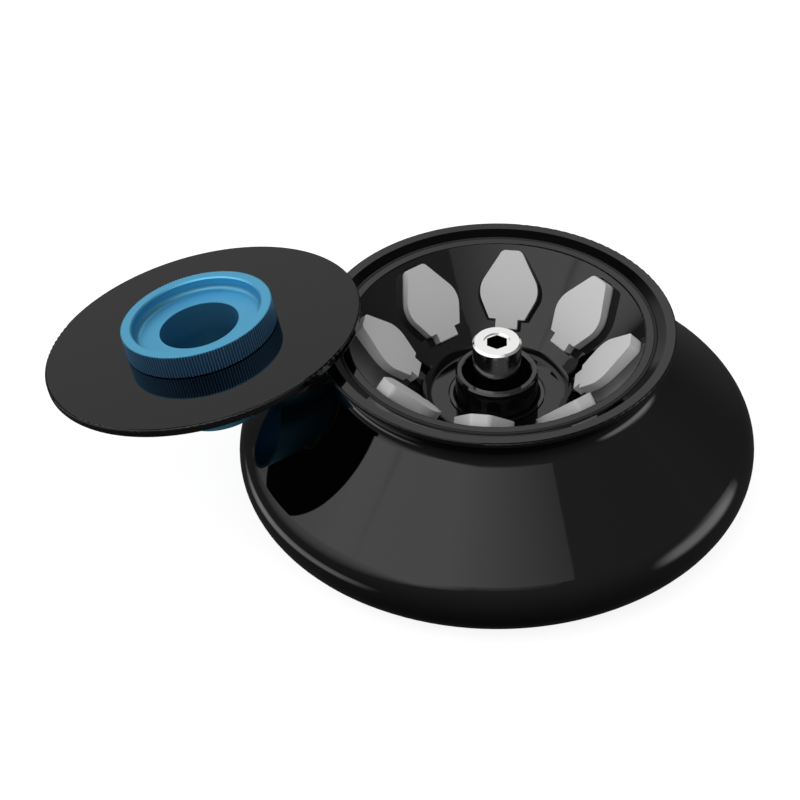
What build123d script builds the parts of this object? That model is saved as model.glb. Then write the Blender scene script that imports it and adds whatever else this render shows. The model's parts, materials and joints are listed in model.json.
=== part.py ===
from build123d import *

import os
from math import acos, atan2, cos, degrees, hypot, radians, sin, tan

os.makedirs("parts", exist_ok=True)

# ---------------------------------------------------------------------------
# Driving dimensions, in millimetres and degrees.
# Z is the spin axis, and Z = 0 is the mouth of the bore that takes the spindle.
# ---------------------------------------------------------------------------

# Rotor body, outside
shoulder_centre_radius = 90.6   # centre of the rounded shoulder, from the spin axis
shoulder_round = 15.2
rim_above_shoulder = 58.1       # rim top above the centre of the shoulder
rim_radius = 72.0
lip_height = 2.2
lip_overhang = 5.8
lip_underside_slope = 45.0
neck_round = 6.5
foot_inner_radius = 80.0
foot_recess_depth = 12.0
foot_recess_round = 5.0
boss_radius = 31.0
boss_clear_of_table = 2.0
edge_round = 0.6

# Rotor body, inside
rim_land = 4.2                  # flat top of the rim
seat_run = 3.4                  # width of the sloped seat that guides the lid in
ledge_depth = 1.7
ledge_width = 3.1
seal_width = 1.6
seal_stands_out = 0.15
seal_chamfer = 0.4
mouth_round = 0.9
bowl_slope = 45.5
floor_depth = 33.2
floor_round = 5.5
floor_round_share = 0.8         # most of the flat floor that its round may take up

# Wells and their inserts
well_count = 8
well_slope = 46.9
insert_tab_depth = 24.6         # lower end of the insert face, below the rim
insert_stands_out = 5.9         # the same point, inwards from the bowl's cone
insert_tab_half_width = 4.5
insert_tab_height = 4.1
insert_heel_half_width = 7.3
insert_belly_half_width = 13.2  # corner of the belly before it is rounded
insert_belly_height = 16.1
insert_belly_round = 10.3
insert_top_half_width = 3.9
insert_height = 32.8
insert_top_round = 2.4
insert_length = 13.0
insert_edge_chamfer = 0.35
well_clearance = 0.6

# Hub: threaded collar, captive clamp nut and drive hub
collar_radius = 16.8
collar_bore_radius = 14.0
collar_top_depth = 21.1         # below the rim
collar_chamfer = 0.8
collar_seat_depth = 8.0         # below the bowl floor
seat_ring_radius = 19.2
seat_ring_thickness = 2.2
seat_ring_stands_out = 0.2
seat_ring_gap = 0.6             # between the ring and the counterbore around it
nut_head_radius = 9.9
nut_head_top_depth = 6.6
nut_head_height = 12.3
nut_head_chamfer = 0.8
hex_across_flats = 8.0
hex_depth = 7.0
hex_turned = 6.7                # one corner of the hexagon, from +Y
hex_lead_in_radius = 5.4
hex_lead_in_depth = 0.5
nut_neck_radius = 8.0
nut_journal_radius = 6.5
nut_shank_radius = 5.0
stud_thread_radius = 2.5        # core of the thread for the spindle's stud
stud_thread_depth = 16.0
bush_radius = 10.5
bush_flange_radius = 12.5
bush_flange_thickness = 2.0
bush_length = 8.0
running_clearance = 0.05
clip_thickness = 1.2
clip_radius = 8.8
clip_groove_depth = 0.6
clip_opening_half_width = 2.0
clip_end_play = 0.15
drive_spigot_radius = 15.0
drive_spigot_height = 12.0
drive_flange_radius = 27.0
drive_flange_thickness = 6.0
spindle_bore_radius = 7.0
spindle_bore_depth = 12.0
clip_pocket_radius = 10.0
clip_pocket_depth = 4.0
drive_pin_count = 2
drive_pin_circle = 12.0
drive_pin_radius = 2.5
drive_pin_length = 7.0
drive_pin_stands_out = 3.0
hub_screw_count = 4
hub_screw_circle = 20.8
hub_screw_radius = 2.5
hub_screw_length = 14.0
hub_screw_head_radius = 4.25
hub_screw_head_height = 5.0
hub_screw_hex_across_flats = 4.0
hub_screw_hex_depth = 2.5

# Lid, taken off and held tilted over the edge of the rim
lid_distance = 118.45           # centre of the lid's top face, from the spin axis
lid_direction = 185.87          # azimuth of that point
lid_centre_depth = 4.44         # below the rim
lid_tilt = 12.69
lid_tilt_direction = 163.4      # azimuth towards which the lid leans
lid_seat_overlap = 0.7          # how far the lid's edge reaches onto the sloped seat
lid_thickness = 3.6
lid_edge_round = 0.8
knob_gap = 0.4                  # shadow gap between the knob and the lid
knob_radius = 31.1
knob_height = 9.5
knob_recess_radius = 26.6
knob_recess_depth = 5.5
knob_recess_round = 2.6
knob_recess_chamfer = 0.55
knob_bore_radius = 16.4
knurl_count = 160
knurl_depth = 0.55
sleeve_radius = 18.8
sleeve_below_lid = 31.0         # below the underside of the lid
thread_clearance = 0.25
thread_length = 26.0
washer_radius = 23.5
washer_thickness = 0.8
sleeve_clip_thickness = 1.5
sleeve_clip_radius = 21.6
sleeve_clip_groove_depth = 0.9
sleeve_clip_opening_half_width = 5.0
knob_seal_section = 1.8
knob_seal_groove_depth = 1.35

# ---------------------------------------------------------------------------
# Heights that follow from the driving dimensions
# ---------------------------------------------------------------------------

drive_flange_top_z = drive_flange_thickness
bush_foot_z = drive_flange_top_z + drive_spigot_height
collar_seat_z = bush_foot_z + bush_length
floor_z = collar_seat_z + collar_seat_depth
rim_z = floor_z + floor_depth
ledge_z = rim_z - ledge_depth
shoulder_z = rim_z - rim_above_shoulder
foot_z = shoulder_z - shoulder_round
foot_recess_z = foot_z + foot_recess_depth
boss_z = foot_z + boss_clear_of_table
collar_top_z = rim_z - collar_top_depth
nut_head_top_z = rim_z - nut_head_top_depth
nut_head_foot_z = nut_head_top_z - nut_head_height
nut_shoulder_z = collar_seat_z + bush_flange_thickness
clip_top_z = bush_foot_z - clip_end_play
clip_foot_z = clip_top_z - clip_thickness
nut_tip_z = spindle_bore_depth + edge_round


def corner(builder, radius, height):
    """The vertex of the profile being drawn that lies at this radius and height."""
    return builder.vertices().sort_by_distance((radius, height, 0))[0]


def draw_polygon(*points):
    """Closed outline through the given points, added to the sketch being drawn."""
    Polygon(*points, align=None)


def draw_rectangle(inner_radius, outer_radius, foot, top):
    """Half section of a plain ring, drawn in the XZ plane."""
    draw_polygon((inner_radius, foot), (outer_radius, foot), (outer_radius, top), (inner_radius, top))


def draw_insert_outline(sketch, clearance):
    """Leaf outline of an insert face: a tab, a heel, a rounded belly and a blunt top."""
    right_side = [
        (insert_tab_half_width, 0),
        (insert_tab_half_width, insert_tab_height),
        (insert_heel_half_width, insert_tab_height),
        (insert_belly_half_width, insert_belly_height),
        (insert_top_half_width, insert_height),
    ]
    left_side = [(-across, along) for across, along in reversed(right_side)]
    draw_polygon(*right_side, *left_side)
    for side in (-1, 1):
        fillet(corner(sketch, side * insert_belly_half_width, insert_belly_height), radius=insert_belly_round)
        fillet(corner(sketch, side * insert_top_half_width, insert_height), radius=insert_top_round)
    if clearance > 0:
        offset(amount=clearance, kind=Kind.INTERSECTION)


def bowl_radius(depth):
    """Radius of the bowl's cone at a depth below the rim."""
    return mouth_radius - (depth - ledge_depth) / tan(radians(bowl_slope))


def insert_plane(well_angle):
    """Plane of an insert face: X runs across it, Y up the slope and Z out of it."""
    outward = Vector(cos(radians(well_angle)), sin(radians(well_angle)), 0)
    across = Vector(sin(radians(well_angle)), -cos(radians(well_angle)), 0)
    face_normal = outward * -sin(radians(well_slope)) + Vector(0, 0, cos(radians(well_slope)))
    tab_radius = bowl_radius(insert_tab_depth) - insert_stands_out
    tab_end = outward * tab_radius + Vector(0, 0, rim_z - insert_tab_depth)
    return Plane(origin=tab_end, x_dir=across, z_dir=face_normal)


well_angles = [index * 360 / well_count for index in range(well_count)]

# The neck round touches the lip's sloped underside, and the flank is the straight line that
# touches both the shoulder and the neck round.
neck_radius = rim_radius - lip_overhang
neck_arc_radius = neck_radius + neck_round
underside_drop = (lip_overhang - neck_round * (1 - sin(radians(lip_underside_slope)))) * tan(
    radians(lip_underside_slope)
)
neck_arc_z = rim_z - lip_height - underside_drop - neck_round * cos(radians(lip_underside_slope))
underside_foot = (
    neck_arc_radius - neck_round * sin(radians(lip_underside_slope)),
    neck_arc_z + neck_round * cos(radians(lip_underside_slope)),
)
arcs_apart = hypot(neck_arc_radius - shoulder_centre_radius, neck_arc_z - shoulder_z)
arcs_direction = degrees(atan2(neck_arc_z - shoulder_z, neck_arc_radius - shoulder_centre_radius))
flank_normal = arcs_direction - degrees(acos((shoulder_round + neck_round) / arcs_apart))
flank_foot = (
    shoulder_centre_radius + shoulder_round * cos(radians(flank_normal)),
    shoulder_z + shoulder_round * sin(radians(flank_normal)),
)
flank_top = (
    neck_arc_radius - neck_round * cos(radians(flank_normal)),
    neck_arc_z - neck_round * sin(radians(flank_normal)),
)

# The seal's groove lies in the ledge, at the foot of the sloped seat.
seat_outer_radius = rim_radius - rim_land
groove_outer_radius = seat_outer_radius - seat_run
groove_inner_radius = groove_outer_radius - seal_width
groove_foot_z = ledge_z - seal_width
mouth_radius = groove_inner_radius - ledge_width
bowl_foot_radius = bowl_radius(floor_depth)
floor_width = bowl_foot_radius - seat_ring_radius - seat_ring_gap
floor_round_limit = floor_round_share * floor_width / tan(radians(bowl_slope / 2))
bowl_floor_round = min(floor_round, floor_round_limit)
lid_radius = groove_outer_radius + lid_seat_overlap

# ---------------------------------------------------------------------------
# Rotor body: one turned block with eight milled wells
# ---------------------------------------------------------------------------

with BuildPart() as rotor_body:
    with BuildSketch(Plane.XZ) as body_section:
        with BuildLine():
            Polyline(
                (seat_outer_radius, rim_z),
                (rim_radius, rim_z),
                (rim_radius, rim_z - lip_height),
                underside_foot,
            )
            CenterArc(
                (neck_arc_radius, neck_arc_z),
                neck_round,
                90 + lip_underside_slope,
                90 - lip_underside_slope + flank_normal,
            )
            Line(flank_top, flank_foot)
            CenterArc((shoulder_centre_radius, shoulder_z), shoulder_round, flank_normal, -90 - flank_normal)
            Polyline(
                (shoulder_centre_radius, foot_z),
                (foot_inner_radius, foot_z),
                (foot_inner_radius, foot_recess_z),
                (boss_radius, foot_recess_z),
                (boss_radius, boss_z),
                (drive_flange_radius, boss_z),
                (drive_flange_radius, drive_flange_top_z),
                (drive_spigot_radius, drive_flange_top_z),
                (drive_spigot_radius, bush_foot_z),
                (bush_radius, bush_foot_z),
                (bush_radius, collar_seat_z),
                (collar_radius, collar_seat_z),
                (collar_radius, floor_z + seat_ring_stands_out - seat_ring_thickness),
                (seat_ring_radius + seat_ring_gap, floor_z + seat_ring_stands_out - seat_ring_thickness),
                (seat_ring_radius + seat_ring_gap, floor_z),
                (bowl_foot_radius, floor_z),
                (mouth_radius, ledge_z),
                (groove_inner_radius, ledge_z),
                (groove_inner_radius, groove_foot_z),
                (groove_outer_radius, groove_foot_z),
                (groove_outer_radius, ledge_z),
                (seat_outer_radius, rim_z),
            )
        make_face()
        fillet(corner(body_section, bowl_foot_radius, floor_z), radius=bowl_floor_round)
        fillet(corner(body_section, mouth_radius, ledge_z), radius=mouth_round)
        fillet(corner(body_section, rim_radius, rim_z), radius=edge_round)
        fillet(corner(body_section, rim_radius, rim_z - lip_height), radius=edge_round)
        fillet(corner(body_section, foot_inner_radius, foot_recess_z), radius=foot_recess_round)
        fillet(corner(body_section, boss_radius, foot_recess_z), radius=foot_recess_round)
    revolve(axis=Axis.Z)
    for well_angle in well_angles:
        with BuildSketch(insert_plane(well_angle)) as well_outline:
            draw_insert_outline(well_outline, well_clearance)
        extrude(amount=-insert_length, mode=Mode.SUBTRACT)
    with BuildSketch(Plane.XY.offset(drive_flange_top_z)):
        with PolarLocations(hub_screw_circle, hub_screw_count):
            Circle(hub_screw_radius)
    extrude(amount=hub_screw_length - drive_flange_thickness + hub_screw_head_height, mode=Mode.SUBTRACT)

rotor_body.part.label = "rotor_body"
export_step(rotor_body.part, "parts/rotor_body.step")

# ---------------------------------------------------------------------------
# Inserts: eight plain blocks that drop into the wells
# ---------------------------------------------------------------------------

for index, well_angle in enumerate(well_angles):
    with BuildPart() as well_insert:
        with BuildSketch(insert_plane(well_angle)) as insert_outline:
            draw_insert_outline(insert_outline, 0)
        extrude(amount=-insert_length)
        face_plane = insert_plane(well_angle)
        outer_face = well_insert.faces().sort_by_distance(face_plane.origin)[0]
        chamfer(outer_face.edges(), length=insert_edge_chamfer)
    well_insert.part.label = f"well_insert_{index + 1}"
    export_step(well_insert.part, f"parts/well_insert_{index + 1}.step")

# ---------------------------------------------------------------------------
# Rim seal: a moulded ring in the ledge
# ---------------------------------------------------------------------------

with BuildPart() as rim_seal:
    with BuildSketch(Plane.XZ) as seal_section:
        seal_top_z = ledge_z + seal_stands_out
        draw_rectangle(groove_inner_radius, groove_outer_radius, groove_foot_z, seal_top_z)
        for radius in (groove_inner_radius, groove_outer_radius):
            chamfer(corner(seal_section, radius, seal_top_z), length=seal_chamfer)
    revolve(axis=Axis.Z)

rim_seal.part.label = "rim_seal"
export_step(rim_seal.part, "parts/rim_seal.step")

# ---------------------------------------------------------------------------
# Hub collar, its seat ring and the bush of the clamp nut
# ---------------------------------------------------------------------------

with BuildPart() as hub_collar:
    with BuildSketch(Plane.XZ) as collar_section:
        draw_rectangle(collar_bore_radius, collar_radius, collar_seat_z, collar_top_z)
        chamfer(corner(collar_section, collar_radius, collar_top_z), length=collar_chamfer)
        chamfer(corner(collar_section, collar_bore_radius, collar_top_z), length=collar_chamfer / 2)
    revolve(axis=Axis.Z)

hub_collar.part.label = "hub_collar"
export_step(hub_collar.part, "parts/hub_collar.step")

with BuildPart() as collar_seat_ring:
    with BuildSketch(Plane.XZ) as ring_section:
        ring_top_z = floor_z + seat_ring_stands_out
        draw_rectangle(collar_radius, seat_ring_radius, ring_top_z - seat_ring_thickness, ring_top_z)
        chamfer(corner(ring_section, collar_radius, ring_top_z), length=seat_ring_thickness / 2)
    revolve(axis=Axis.Z)

collar_seat_ring.part.label = "collar_seat_ring"
export_step(collar_seat_ring.part, "parts/collar_seat_ring.step")

bush_bore_radius = nut_journal_radius + running_clearance

with BuildPart() as nut_bush:
    with BuildSketch(Plane.XZ):
        draw_rectangle(bush_bore_radius, bush_radius, bush_foot_z, collar_seat_z)
        draw_rectangle(bush_bore_radius, bush_flange_radius, collar_seat_z, nut_shoulder_z)
    revolve(axis=Axis.Z)

nut_bush.part.label = "nut_bush"
export_step(nut_bush.part, "parts/nut_bush.step")

# ---------------------------------------------------------------------------
# Clamp nut: hexagon socket on top, stud thread below, kept in the bush by a retaining clip
# ---------------------------------------------------------------------------

clip_groove_radius = nut_journal_radius - clip_groove_depth

with BuildPart() as clamp_nut:
    with BuildSketch(Plane.XZ) as nut_section:
        draw_polygon(
            (0, nut_tip_z + stud_thread_depth),
            (stud_thread_radius, nut_tip_z + stud_thread_depth),
            (stud_thread_radius, nut_tip_z),
            (nut_shank_radius, nut_tip_z),
            (nut_shank_radius, clip_foot_z - clip_thickness),
            (nut_journal_radius, clip_foot_z - clip_thickness),
            (nut_journal_radius, clip_foot_z),
            (clip_groove_radius, clip_foot_z),
            (clip_groove_radius, clip_top_z),
            (nut_journal_radius, clip_top_z),
            (nut_journal_radius, nut_shoulder_z),
            (nut_neck_radius, nut_shoulder_z),
            (nut_neck_radius, nut_head_foot_z),
            (nut_head_radius, nut_head_foot_z),
            (nut_head_radius, nut_head_top_z),
            (0, nut_head_top_z),
        )
        chamfer(corner(nut_section, nut_head_radius, nut_head_top_z), length=nut_head_chamfer)
        chamfer(corner(nut_section, nut_head_radius, nut_head_foot_z), length=nut_head_chamfer / 2)
        chamfer(corner(nut_section, nut_shank_radius, nut_tip_z), length=edge_round)
    revolve(axis=Axis.Z)
    with BuildSketch(Plane.XY.offset(nut_head_top_z)):
        RegularPolygon(hex_across_flats / 2, 6, major_radius=False, rotation=30 + hex_turned)
    extrude(amount=-hex_depth, mode=Mode.SUBTRACT)
    with BuildSketch(Plane.XY.offset(nut_head_top_z)):
        Circle(hex_lead_in_radius)
    extrude(amount=-hex_lead_in_depth, mode=Mode.SUBTRACT)

clamp_nut.part.label = "clamp_nut"
export_step(clamp_nut.part, "parts/clamp_nut.step")

with BuildPart() as nut_clip:
    with BuildSketch(Plane.XY.offset(clip_foot_z)):
        Circle(clip_radius)
        Circle(clip_groove_radius, mode=Mode.SUBTRACT)
        with Locations((clip_radius / 2, 0)):
            Rectangle(clip_radius + edge_round, 2 * clip_opening_half_width, mode=Mode.SUBTRACT)
    extrude(amount=clip_thickness)

nut_clip.part.label = "nut_clip"
export_step(nut_clip.part, "parts/nut_clip.step")

# ---------------------------------------------------------------------------
# Drive hub under the body, with two drive pins and four cap screws
# ---------------------------------------------------------------------------

with BuildPart() as drive_hub:
    with BuildSketch(Plane.XZ):
        draw_rectangle(spindle_bore_radius, drive_flange_radius, 0, drive_flange_top_z)
        draw_rectangle(spindle_bore_radius, drive_spigot_radius, drive_flange_top_z, spindle_bore_depth)
        draw_rectangle(
            nut_shank_radius + thread_clearance,
            drive_spigot_radius,
            spindle_bore_depth,
            bush_foot_z - clip_pocket_depth,
        )
        draw_rectangle(clip_pocket_radius, drive_spigot_radius, bush_foot_z - clip_pocket_depth, bush_foot_z)
    revolve(axis=Axis.Z)
    with BuildSketch(Plane.XY):
        with PolarLocations(drive_pin_circle, drive_pin_count):
            Circle(drive_pin_radius)
    extrude(amount=drive_pin_length - drive_pin_stands_out, mode=Mode.SUBTRACT)
    with BuildSketch(Plane.XY):
        with PolarLocations(hub_screw_circle, hub_screw_count):
            Circle(hub_screw_head_radius)
    extrude(amount=hub_screw_head_height, mode=Mode.SUBTRACT)
    with BuildSketch(Plane.XY):
        with PolarLocations(hub_screw_circle, hub_screw_count):
            Circle(hub_screw_radius)
    extrude(amount=drive_flange_thickness, mode=Mode.SUBTRACT)

drive_hub.part.label = "drive_hub"
export_step(drive_hub.part, "parts/drive_hub.step")

for index in range(drive_pin_count):
    pin_angle = index * 360 / drive_pin_count
    with BuildPart() as drive_pin:
        with BuildSketch(Plane.XY.offset(-drive_pin_stands_out)):
            with PolarLocations(drive_pin_circle, 1, start_angle=pin_angle):
                Circle(drive_pin_radius)
        extrude(amount=drive_pin_length)
        chamfer(drive_pin.edges().group_by(Axis.Z)[0], length=edge_round)
    drive_pin.part.label = f"drive_pin_{index + 1}"
    export_step(drive_pin.part, f"parts/drive_pin_{index + 1}.step")

for index in range(hub_screw_count):
    hub_screw_angle = index * 360 / hub_screw_count
    with BuildPart() as hub_screw:
        with BuildSketch(Plane.XY):
            with PolarLocations(hub_screw_circle, 1, start_angle=hub_screw_angle):
                Circle(hub_screw_head_radius)
        extrude(amount=hub_screw_head_height)
        with BuildSketch(Plane.XY.offset(hub_screw_head_height)):
            with PolarLocations(hub_screw_circle, 1, start_angle=hub_screw_angle):
                Circle(hub_screw_radius)
        extrude(amount=hub_screw_length)
        with BuildSketch(Plane.XY):
            with PolarLocations(hub_screw_circle, 1, start_angle=hub_screw_angle):
                RegularPolygon(hub_screw_hex_across_flats / 2, 6, major_radius=False)
        extrude(amount=hub_screw_hex_depth, mode=Mode.SUBTRACT)
    hub_screw.part.label = f"hub_screw_{index + 1}"
    export_step(hub_screw.part, f"parts/hub_screw_{index + 1}.step")

# ---------------------------------------------------------------------------
# Lid: a disc with a turning knob whose sleeve screws onto the hub collar.
# Every piece is drawn about the lid's own axis; height 0 is the disc's top face.
# ---------------------------------------------------------------------------

lid_centre = Vector(
    lid_distance * cos(radians(lid_direction)),
    lid_distance * sin(radians(lid_direction)),
    rim_z - lid_centre_depth,
)
lid_up = Vector(
    sin(radians(lid_tilt)) * cos(radians(lid_tilt_direction)),
    sin(radians(lid_tilt)) * sin(radians(lid_tilt_direction)),
    cos(radians(lid_tilt)),
)
lid_plane = Plane(
    origin=lid_centre,
    x_dir=(-sin(radians(lid_tilt_direction)), cos(radians(lid_tilt_direction)), 0),
    z_dir=lid_up,
)
lid_axis = Axis(lid_centre, lid_up)
lid_section_plane = Plane(origin=lid_centre, x_dir=lid_plane.x_dir, z_dir=-lid_plane.y_dir)

sleeve_foot = -lid_thickness - sleeve_below_lid
knob_top = knob_gap + knob_height
disc_bore_radius = sleeve_radius + running_clearance
washer_foot = -lid_thickness - washer_thickness
sleeve_clip_top = washer_foot - running_clearance
sleeve_clip_foot = sleeve_clip_top - sleeve_clip_thickness
sleeve_clip_groove_radius = sleeve_radius - sleeve_clip_groove_depth
knob_seal_groove_radius = sleeve_radius - knob_seal_groove_depth
knob_seal_top = (knob_seal_section - lid_thickness) / 2
knob_seal_foot = knob_seal_top - knob_seal_section

with BuildPart() as lid_disc:
    with BuildSketch(lid_section_plane) as disc_section:
        draw_rectangle(disc_bore_radius, lid_radius, -lid_thickness, 0)
        for height in (-lid_thickness, 0):
            fillet(corner(disc_section, lid_radius, height), radius=lid_edge_round)
    revolve(axis=lid_axis)

lid_disc.part.label = "lid_disc"
export_step(lid_disc.part, "parts/lid_disc.step")

# The knurl is a ring of straight teeth, cut along the whole height of the knob.
knurl_points = []
for step in range(2 * knurl_count):
    knurl_angle = radians(step * 180 / knurl_count)
    knurl_radius = knob_radius - knurl_depth * (step % 2)
    knurl_points.append((knurl_radius * cos(knurl_angle), knurl_radius * sin(knurl_angle)))

with BuildPart() as lid_knob:
    with BuildSketch(lid_plane.offset(knob_gap)):
        draw_polygon(*knurl_points)
    extrude(amount=knob_height)
    with BuildSketch(lid_section_plane):
        draw_rectangle(0, sleeve_radius, sleeve_foot, knob_top - knob_height / 2)
    revolve(axis=lid_axis)
    with BuildSketch(lid_section_plane) as recess_section:
        draw_polygon(
            (0, sleeve_foot),
            (collar_radius + thread_clearance, sleeve_foot),
            (collar_radius + thread_clearance, sleeve_foot + thread_length),
            (knob_bore_radius, sleeve_foot + thread_length),
            (knob_bore_radius, knob_top - knob_recess_depth),
            (knob_recess_radius, knob_top - knob_recess_depth),
            (knob_recess_radius, knob_top - knob_recess_chamfer),
            (knob_recess_radius + knob_recess_chamfer, knob_top),
            (0, knob_top),
        )
        fillet(
            corner(recess_section, knob_recess_radius, knob_top - knob_recess_depth),
            radius=knob_recess_round,
        )
    revolve(axis=lid_axis, mode=Mode.SUBTRACT)
    with BuildSketch(lid_section_plane):
        draw_rectangle(sleeve_clip_groove_radius, sleeve_radius, sleeve_clip_foot, sleeve_clip_top)
        draw_rectangle(knob_seal_groove_radius, sleeve_radius, knob_seal_foot, knob_seal_top)
    revolve(axis=lid_axis, mode=Mode.SUBTRACT)

lid_knob.part.label = "lid_knob"
export_step(lid_knob.part, "parts/lid_knob.step")

with BuildPart() as knob_washer:
    with BuildSketch(lid_section_plane):
        draw_rectangle(disc_bore_radius, washer_radius, washer_foot, -lid_thickness)
    revolve(axis=lid_axis)

knob_washer.part.label = "knob_washer"
export_step(knob_washer.part, "parts/knob_washer.step")

with BuildPart() as knob_clip:
    with BuildSketch(lid_plane.offset(sleeve_clip_foot)):
        Circle(sleeve_clip_radius)
        Circle(sleeve_clip_groove_radius, mode=Mode.SUBTRACT)
        with Locations((sleeve_clip_radius / 2, 0)):
            Rectangle(sleeve_clip_radius + edge_round, 2 * sleeve_clip_opening_half_width, mode=Mode.SUBTRACT)
    extrude(amount=sleeve_clip_thickness)

knob_clip.part.label = "knob_clip"
export_step(knob_clip.part, "parts/knob_clip.step")

with BuildPart() as knob_seal:
    with BuildSketch(lid_section_plane):
        draw_rectangle(knob_seal_groove_radius, sleeve_radius, knob_seal_foot, knob_seal_top)
    revolve(axis=lid_axis)

knob_seal.part.label = "knob_seal"
export_step(knob_seal.part, "parts/knob_seal.step")
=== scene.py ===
import json
from math import cos, radians, sin

import bpy
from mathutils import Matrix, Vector


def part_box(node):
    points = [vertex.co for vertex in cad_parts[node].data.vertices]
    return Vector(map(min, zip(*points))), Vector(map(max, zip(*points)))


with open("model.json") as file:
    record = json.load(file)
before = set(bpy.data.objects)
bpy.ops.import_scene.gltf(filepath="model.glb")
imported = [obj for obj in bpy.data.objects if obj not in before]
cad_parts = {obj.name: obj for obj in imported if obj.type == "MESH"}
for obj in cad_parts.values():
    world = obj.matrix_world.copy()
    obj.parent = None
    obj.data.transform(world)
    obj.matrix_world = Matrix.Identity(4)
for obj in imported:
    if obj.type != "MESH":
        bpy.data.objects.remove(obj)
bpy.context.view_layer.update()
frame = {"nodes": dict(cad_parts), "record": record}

# ---------------------------------------------------------------------------
# Settings: metres, degrees and linear colours
# ---------------------------------------------------------------------------

RIM_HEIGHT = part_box("rotor_body")[1][2]
FLOOR_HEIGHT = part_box("rotor_body")[0][2]

IMAGE_SIZE = 800
VIEW_AZIMUTH = 6.7
VIEW_ELEVATION = 37.85
VIEW_DISTANCE = 1.1656
FOCAL_PIXELS = 2914.0
RIM_CENTRE_PIXEL = (496.93, 328.1)
SENSOR_WIDTH = 36.0

# The lid's knob where the lid lies: the middle of the lid's top face, its axis and its sizes.
KNOB_CENTRE = (-0.11783, -0.01211, 0.06276)
KNOB_UP = (-0.2105, 0.0628, 0.9756)
KNOB_RADIUS = 0.0311
KNOB_TOP = 0.0099
KNOB_RECESS_RADIUS = 0.0266
KNOB_RECESS_DEPTH = 0.0055

# Distances from the knob's axis and heights above the lid at which its colour changes, where painted
# shade on its side, grooves, recess wall and sleeve bore begins.
COLOUR_EDGE = 0.0002
KNURL_OVER_RADIUS = KNOB_RADIUS - 0.00068
KNURL_EDGE = 0.00004
KNURL_UNDER_HEIGHT = KNOB_TOP - 0.00045
GROOVE_UNDER_RADIUS = KNOB_RADIUS - 0.00018
RECESS_UNDER_RADIUS = KNOB_RECESS_RADIUS + 0.0003
RECESS_UNDER_HEIGHT = KNOB_TOP - 0.0006
RECESS_FOOT_RADIUS = KNOB_RECESS_RADIUS - 0.0022
RECESS_FOOT_EDGE = 0.002
SLEEVE_UNDER_HEIGHT = KNOB_TOP - KNOB_RECESS_DEPTH - 0.0004
# Painted shade: the recess wall and the sleeve bore are darkened to this share, and the knurled side and
# its grooves take these darker colours in place of the knob's own blue.
RECESS_SHADE = 0.68
KNURL_SHADE_COLOUR = (0.17, 0.42, 0.72)
GROOVE_SHADE_COLOUR = (0.06, 0.15, 0.27)

# The clamp nut's socket, painted black inside as painted shade, and the fine rings that turning left on
# its head.
SOCKET_UNDER_RADIUS = 0.0047
SOCKET_UNDER_HEIGHT = RIM_HEIGHT - 0.0075
SOCKET_SHADE_COLOUR = (0.012, 0.012, 0.012, 1.0)
TURNING_RINGS = 24000.0

# Light on matt surfaces, where 1 is white.
SOFT_LIGHT = 0.92
LIGHT_FROM_LEFT = 0.62          # how much more of it comes from the left than from the middle
SOFT_LIGHT_EDGE = 0.1

# The studio that gloss and metal mirror. Its directions are across (to the right), away and up,
# each the part of a unit vector. Levels are brightnesses, where 1 is white.
ROOM_AT_HORIZON = 0.175
ROOM_RISE = 0.15                # how much brighter straight up
ROOM_BACK = (0.15, 0.70, 1.0, 0.5)      # away from, away to, share left at each
CEILING_SHARE = 0.2
PANEL_LEFT = 1.50
PANEL_RIGHT = 0.60
PANEL_LEFT_ACROSS = -0.30
PANEL_RIGHT_ACROSS = 0.43
PANEL_END_SLOPE = 0.59          # its right end, across for each part up
PANEL_END_EDGE = 0.015
PANEL_LEAN = 0.489              # how its lower edge drops to the left
PANEL_LEAN_ACROSS = -0.15
PANEL_TILT = 0.117
PANEL_FADE_ACROSS = (-0.9, -0.5)
PANEL_FADE_START = (0.50, 0.57)
PANEL_FADE_END = (1.00, 0.70)
BACK_WALL = 0.48
BACK_SOFTBOX = 0.94
SIDE_CARD = 2.1
LOW_CARD = 1.5

# The edges of its areas: the direction, the side that is kept, where the edge lies and its softness.
CEILING_AREA = (("up", ">", 0.68, 0.14), ("away", ">", -0.15, 0.2))
PANEL_FRONT_AREA = (("away", "<", -0.25, 0.15),)
PANEL_SIDE_AREA = (("across", "<", -0.68, 0.15),)
BACK_WALL_AREA = (
    ("away", ">", 0.62, 0.12),
    ("across", ">", -0.62, 0.1),
    ("across", "<", 0.16, 0.1),
    ("up", ">", 0.20, 0.1),
)
BACK_SOFTBOX_AREA = (
    ("up", ">", 0.585, 0.06),
    ("away", ">", 0.28, 0.1),
    ("across", ">", -0.36, 0.1),
    ("across", "<", 0.16, 0.16),
)
SIDE_CARD_AREA = (("across", ">", 0.93, 0.10), ("up", ">", -0.18, 0.28), ("up", "<", 0.24, 0.28))
LOW_CARD_AREA = (("across", "<", -0.78, 0.22), ("up", ">", -0.49, 0.10), ("up", "<", -0.29, 0.10))

FLOOR_SIZE = 6.0
FLOOR_GAP = 0.0002
FLOOR_GLOW = 0.86
FLOOR_COLOUR = (0.30, 0.30, 0.30, 1.0)


# ---------------------------------------------------------------------------
# Node helpers
# ---------------------------------------------------------------------------

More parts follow.
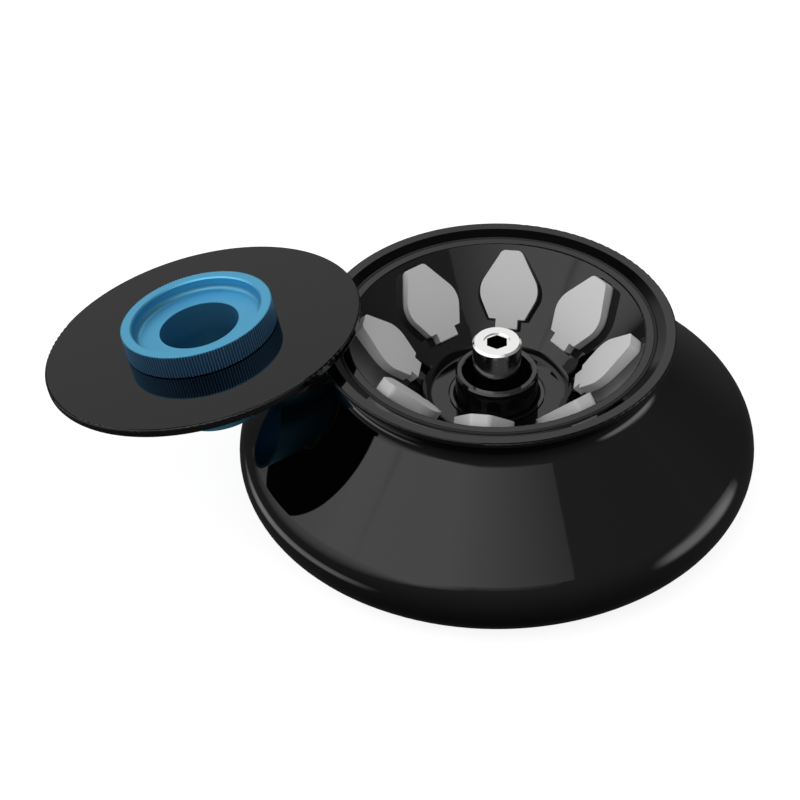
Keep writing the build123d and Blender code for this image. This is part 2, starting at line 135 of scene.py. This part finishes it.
class Tree:
    """A small wrapper that adds nodes to a node tree and joins them."""

    def __init__(self, tree):
        self.tree = tree
        tree.nodes.clear()

    def node(self, kind, **settings):
        made = self.tree.nodes.new(kind)
        for name, value in settings.items():
            setattr(made, name, value)
        return made

    def link(self, source, target):
        self.tree.links.new(source, target)

    def feed(self, value, socket):
        """Joins an output to a socket, or sets the socket to a constant."""
        if isinstance(value, bpy.types.NodeSocket):
            self.link(value, socket)
        else:
            socket.default_value = value

    def math(self, operation, *values):
        made = self.node("ShaderNodeMath", operation=operation)
        for socket, value in zip(made.inputs, values):
            self.feed(value, socket)
        return made.outputs[0]

    def vector(self, operation, output, *values):
        made = self.node("ShaderNodeVectorMath", operation=operation)
        for socket, value in zip(made.inputs, values):
            self.feed(value, socket)
        return made.outputs[output]

    def above(self, value, edge, softness):
        """0 below the edge and 1 above it, with a smooth ramp as wide as softness."""
        made = self.node("ShaderNodeMapRange", interpolation_type="SMOOTHSTEP")
        self.feed(value, made.inputs["Value"])
        made.inputs["From Min"].default_value = edge - softness / 2
        made.inputs["From Max"].default_value = edge + softness / 2
        return made.outputs[0]

    def below(self, value, edge, softness):
        """1 below the edge and 0 above it."""
        return self.math("SUBTRACT", 1.0, self.above(value, edge, softness))

    def ramp(self, value, start, end, low, high):
        """Runs straight from low at start to high at end, and stays there outside."""
        made = self.node("ShaderNodeMapRange")
        sockets = ("Value", "From Min", "From Max", "To Min", "To Max")
        for name, given in zip(sockets, (value, start, end, low, high)):
            self.feed(given, made.inputs[name])
        return made.outputs[0]

    def blend(self, low, high, share):
        """low where the share is 0, high where it is 1."""
        return self.math("MULTIPLY_ADD", self.math("SUBTRACT", high, low), share, low)

    def both(self, *masks):
        result = masks[0]
        for mask in masks[1:]:
            result = self.math("MULTIPLY", result, mask)
        return result

    def either(self, *masks):
        result = masks[0]
        for mask in masks[1:]:
            result = self.math("MAXIMUM", result, mask)
        return result

    def area(self, directions, edges):
        """1 inside an area of the studio and 0 outside it."""
        return self.both(*(
            (self.above if side == ">" else self.below)(directions[name], place, softness)
            for name, side, place, softness in edges
        ))

    def colours(self, mask, first, second):
        """The first colour where the mask is 0, the second where it is 1."""
        made = self.node("ShaderNodeMix", data_type="RGBA")
        self.feed(mask, made.inputs["Factor"])
        self.feed(first, made.inputs["A"])
        self.feed(second, made.inputs["B"])
        return made.outputs["Result"]

    def place(self):
        """Where a point lies in its piece's own space."""
        return self.node("ShaderNodeTexCoord").outputs["Object"]

    def speckle(self, scale):
        """Fine noise, from 0 to 1."""
        noise = self.node("ShaderNodeTexNoise")
        noise.inputs["Scale"].default_value = scale
        noise.inputs["Detail"].default_value = 3.0
        self.link(self.place(), noise.inputs["Vector"])
        return noise.outputs["Fac"]


# ---------------------------------------------------------------------------
# Materials
# ---------------------------------------------------------------------------

def new_material(name, metallic, ior=1.5):
    material = bpy.data.materials.new(name)
    material.use_nodes = True
    tree = Tree(material.node_tree)
    shader = tree.node("ShaderNodeBsdfPrincipled")
    shader.inputs["Metallic"].default_value = metallic
    shader.inputs["IOR"].default_value = ior
    output = tree.node("ShaderNodeOutputMaterial")
    tree.link(shader.outputs["BSDF"], output.inputs["Surface"])
    return material, tree, shader


def dress(tree, shader, colour, grain, roughness, grain_depth):
    """Gives a shader its colour, and a grain in its roughness and, if wanted, in its height."""
    tree.link(colour, shader.inputs["Base Color"])
    tree.link(tree.ramp(grain, 0.0, 1.0, *roughness), shader.inputs["Roughness"])
    if grain_depth:
        made = tree.node("ShaderNodeBump")
        made.inputs["Distance"].default_value = grain_depth
        made.inputs["Strength"].default_value = 1.0
        tree.link(grain, made.inputs["Height"])
        tree.link(made.outputs["Normal"], shader.inputs["Normal"])


def grained(name, dark, light, metallic, roughness, grain_scale, grain_depth=0.0, ior=1.5):
    """A surface with a fine grain that runs between two colours."""
    material, tree, shader = new_material(name, metallic, ior)
    grain = tree.speckle(grain_scale)
    dress(tree, shader, tree.colours(grain, (*dark, 1.0), (*light, 1.0)), grain, roughness, grain_depth)
    return material


def socket_head(name, dark, light, roughness, grain_scale):
    """Bright turned metal with painted shade, black, inside its hexagon socket."""
    material, tree, shader = new_material(name, 1.0)
    split = tree.node("ShaderNodeSeparateXYZ")
    tree.link(tree.place(), split.inputs[0])
    x, y, z = split.outputs
    reach = tree.math("SQRT", tree.math("ADD", tree.math("MULTIPLY", x, x), tree.math("MULTIPLY", y, y)))
    inside = tree.both(
        tree.below(reach, SOCKET_UNDER_RADIUS, COLOUR_EDGE),
        tree.below(z, SOCKET_UNDER_HEIGHT, COLOUR_EDGE),
    )
    wave = tree.math("SINE", tree.math("MULTIPLY", reach, TURNING_RINGS))
    rings = tree.math("MULTIPLY_ADD", wave, 0.5, 0.5)
    grain = tree.math("MULTIPLY", tree.math("ADD", rings, tree.speckle(grain_scale)), 0.5)
    bare = tree.colours(grain, (*dark, 1.0), (*light, 1.0))
    # Painted shade: the inside of the socket is painted black.
    dress(tree, shader, tree.colours(inside, bare, SOCKET_SHADE_COLOUR), grain, roughness, 0.0)
    return material


def knurled_knob(name, dark, light, metallic, roughness, grain_scale, grain_depth):
    """Blasted and anodised metal, with painted shade on the knurled side, darker painted shade in its
    grooves, and painted shade on the recess wall and in the sleeve bore.
    """
    material, tree, shader = new_material(name, metallic)
    offset = tree.vector("SUBTRACT", "Vector", tree.place(), KNOB_CENTRE)
    height = tree.vector("DOT_PRODUCT", "Value", offset, KNOB_UP)
    reach = tree.vector("LENGTH", "Value", tree.vector("CROSS_PRODUCT", "Vector", offset, KNOB_UP))
    side = tree.both(
        tree.above(reach, KNURL_OVER_RADIUS, KNURL_EDGE),
        tree.below(height, KNURL_UNDER_HEIGHT, COLOUR_EDGE),
    )
    groove = tree.below(reach, GROOVE_UNDER_RADIUS, COLOUR_EDGE)
    recess = tree.both(
        tree.below(reach, RECESS_UNDER_RADIUS, COLOUR_EDGE),
        tree.below(height, RECESS_UNDER_HEIGHT, COLOUR_EDGE),
        tree.either(
            tree.above(reach, RECESS_FOOT_RADIUS, RECESS_FOOT_EDGE),
            tree.below(height, SLEEVE_UNDER_HEIGHT, COLOUR_EDGE),
        ),
    )
    grain = tree.speckle(grain_scale)
    bare = tree.node("ShaderNodeVectorMath", operation="SCALE")
    tree.link(tree.colours(grain, (*dark, 1.0), (*light, 1.0)), bare.inputs[0])
    # Painted shade on the recess wall and in the sleeve bore.
    tree.link(tree.ramp(recess, 0.0, 1.0, 1.0, RECESS_SHADE), bare.inputs["Scale"])
    # Painted shade on the knurled side, darker in its grooves.
    shaded_side = tree.colours(groove, (*KNURL_SHADE_COLOUR, 1.0), (*GROOVE_SHADE_COLOUR, 1.0))
    dress(tree, shader, tree.colours(side, bare.outputs["Vector"], shaded_side), grain, roughness, grain_depth)
    return material


# By material slot. The numbers are the two colours, metallic, roughness, grain per metre, its depth
# and the index of refraction.
GRAINED = {
    "black_gloss": ((0.0004,) * 3, (0.0009,) * 3, 0.0, (0.02, 0.04), 60.0),
    "grey_plastic": ((0.55,) * 3, (0.60,) * 3, 0.0, (0.42, 0.50), 2500.0, 0.00002),
    "dark_metal": ((0.0042,) * 3, (0.0060,) * 3, 0.0, (0.05, 0.09), 400.0, 0.0, 1.6),
    "black_rubber": ((0.004,) * 3, (0.008,) * 3, 0.0, (0.55, 0.70), 1500.0, 0.00002),
    # bearing_bronze: a bronze hue, painted far darker as painted shade where the bush sits between the
    # nut and the collar.
    "bearing_bronze": ((0.040, 0.028, 0.016), (0.055, 0.040, 0.022), 1.0, (0.25, 0.35), 700.0),
    "spring_steel": ((0.28,) * 3, (0.36,) * 3, 1.0, (0.25, 0.35), 700.0),
    "hub_steel": ((0.50,) * 3, (0.58,) * 3, 1.0, (0.20, 0.30), 500.0),
    "white_plastic": ((0.70, 0.70, 0.68), (0.78, 0.78, 0.76), 0.0, (0.4, 0.5), 900.0),
}
finishes = {slot: grained(slot, *values) for slot, values in GRAINED.items()}
finishes["bright_chrome"] = socket_head(
    "bright_chrome", (0.93, 0.93, 0.92), (0.97, 0.97, 0.96), (0.10, 0.18), 900.0,
)
finishes["blue_anodised"] = knurled_knob(
    "blue_anodised", (0.15, 0.58, 0.90), (0.17, 0.63, 0.95), 0.88, (0.40, 0.46), 1800.0, 0.000008,
)

for subpart in frame["record"]["subparts"]:
    node = frame["nodes"][subpart["node"]]
    for material_slot in node.material_slots:
        material_slot.material = finishes[subpart["material_slot"]]

# ---------------------------------------------------------------------------
# Studio: floor, surroundings and camera
# ---------------------------------------------------------------------------

def make_floor():
    """A pale floor that looks white and keeps the object's soft shadow."""
    bpy.ops.mesh.primitive_plane_add(size=FLOOR_SIZE, location=(0, 0, FLOOR_HEIGHT - FLOOR_GAP))
    floor = bpy.context.object
    floor.name = "floor"
    material = bpy.data.materials.new("floor")
    material.use_nodes = True
    tree = Tree(material.node_tree)
    rays = tree.node("ShaderNodeLightPath")
    paint = tree.node("ShaderNodeBsdfDiffuse")
    paint.inputs["Color"].default_value = FLOOR_COLOUR
    glow = tree.node("ShaderNodeEmission")
    tree.link(tree.math("MULTIPLY", rays.outputs["Is Camera Ray"], FLOOR_GLOW), glow.inputs["Strength"])
    total = tree.node("ShaderNodeAddShader")
    tree.link(paint.outputs[0], total.inputs[0])
    tree.link(glow.outputs[0], total.inputs[1])
    output = tree.node("ShaderNodeOutputMaterial")
    tree.link(total.outputs[0], output.inputs["Surface"])
    floor.data.materials.append(material)
    floor.visible_glossy = False
    floor.visible_diffuse = False


def draw_studio(tree, across, away, up):
    """How bright the studio is in each direction, as gloss and metal mirror it."""
    directions = {"across": across, "away": away, "up": up}

    # A grey room, darker towards the floor, the back and the ceiling.
    room = tree.math("MULTIPLY_ADD", up, ROOM_RISE, ROOM_AT_HORIZON)
    room = tree.math("MULTIPLY", room, tree.ramp(away, *ROOM_BACK))
    ceiling = tree.area(directions, CEILING_AREA)
    room = tree.math("MULTIPLY", room, tree.ramp(ceiling, 0.0, 1.0, 1.0, CEILING_SHARE))

    # A large panel over the front and left, brighter to the left, that fades out towards the floor.
    lean = tree.math("MULTIPLY", tree.math("MINIMUM", across, PANEL_LEAN_ACROSS), -PANEL_LEAN)
    height = tree.math("ADD", tree.math("MULTIPLY_ADD", away, PANEL_TILT, up), lean)
    fade_start = tree.ramp(across, *PANEL_FADE_ACROSS, *PANEL_FADE_START)
    fade_end = tree.ramp(across, *PANEL_FADE_ACROSS, *PANEL_FADE_END)
    past_end = tree.math("MULTIPLY_ADD", up, -PANEL_END_SLOPE, across)
    panel_area = tree.both(
        tree.ramp(height, fade_start, fade_end, 0.0, 1.0),
        tree.below(past_end, 0.0, PANEL_END_EDGE),
        tree.either(tree.area(directions, PANEL_FRONT_AREA), tree.area(directions, PANEL_SIDE_AREA)),
    )
    panel = tree.ramp(across, PANEL_LEFT_ACROSS, PANEL_RIGHT_ACROSS, PANEL_LEFT, PANEL_RIGHT)
    level = tree.blend(room, panel, panel_area)

    # A wall and a softbox behind the object, a card at the right and a low one at the left.
    for brightness, edges in (
        (BACK_WALL, BACK_WALL_AREA),
        (BACK_SOFTBOX, BACK_SOFTBOX_AREA),
        (SIDE_CARD, SIDE_CARD_AREA),
        (LOW_CARD, LOW_CARD_AREA),
    ):
        level = tree.blend(level, brightness, tree.area(directions, edges))
    return level


def make_surroundings():
    """White behind everything the camera sees, soft light on matt surfaces, a studio for gloss."""
    world = bpy.data.worlds.new("studio")
    bpy.context.scene.world = world
    world.use_nodes = True
    tree = Tree(world.node_tree)
    place = tree.node("ShaderNodeTexCoord")
    turned = tree.node("ShaderNodeMapping")
    turned.inputs["Rotation"].default_value = (0, 0, radians(-VIEW_AZIMUTH))
    tree.link(place.outputs["Generated"], turned.inputs["Vector"])
    split = tree.node("ShaderNodeSeparateXYZ")
    tree.link(turned.outputs[0], split.inputs[0])
    across, away, up = split.outputs

    soft = tree.math("MULTIPLY_ADD", across, -SOFT_LIGHT * LIGHT_FROM_LEFT, SOFT_LIGHT)
    soft = tree.math("MULTIPLY", soft, tree.above(up, 0.0, SOFT_LIGHT_EDGE))
    shown = draw_studio(tree, across, away, up)
    rays = tree.node("ShaderNodeLightPath")
    mirrored = tree.either(rays.outputs["Is Glossy Ray"], rays.outputs["Is Transmission Ray"])
    level = tree.blend(soft, shown, mirrored)
    level = tree.either(level, rays.outputs["Is Camera Ray"])
    background = tree.node("ShaderNodeBackground")
    background.inputs["Color"].default_value = (1, 1, 1, 1)
    tree.link(level, background.inputs["Strength"])
    output = tree.node("ShaderNodeOutputWorld")
    tree.link(background.outputs[0], output.inputs["Surface"])


def make_camera():
    data = bpy.data.cameras.new("camera")
    camera = bpy.data.objects.new("camera", data)
    bpy.context.collection.objects.link(camera)
    azimuth, elevation = radians(VIEW_AZIMUTH), radians(VIEW_ELEVATION)
    towards_camera = Vector((
        sin(azimuth) * cos(elevation),
        -cos(azimuth) * cos(elevation),
        sin(elevation),
    ))
    camera.location = Vector((0, 0, RIM_HEIGHT)) + towards_camera * VIEW_DISTANCE
    camera.rotation_euler = (radians(90) - elevation, 0, azimuth)
    data.sensor_width = SENSOR_WIDTH
    data.lens = FOCAL_PIXELS * SENSOR_WIDTH / IMAGE_SIZE
    data.shift_x = (IMAGE_SIZE / 2 - RIM_CENTRE_PIXEL[0]) / IMAGE_SIZE
    data.shift_y = (RIM_CENTRE_PIXEL[1] - IMAGE_SIZE / 2) / IMAGE_SIZE
    data.clip_start = 0.01
    data.clip_end = 20.0
    bpy.context.scene.camera = camera


make_floor()
make_surroundings()
make_camera()
bpy.context.scene.view_settings.view_transform = "Standard"
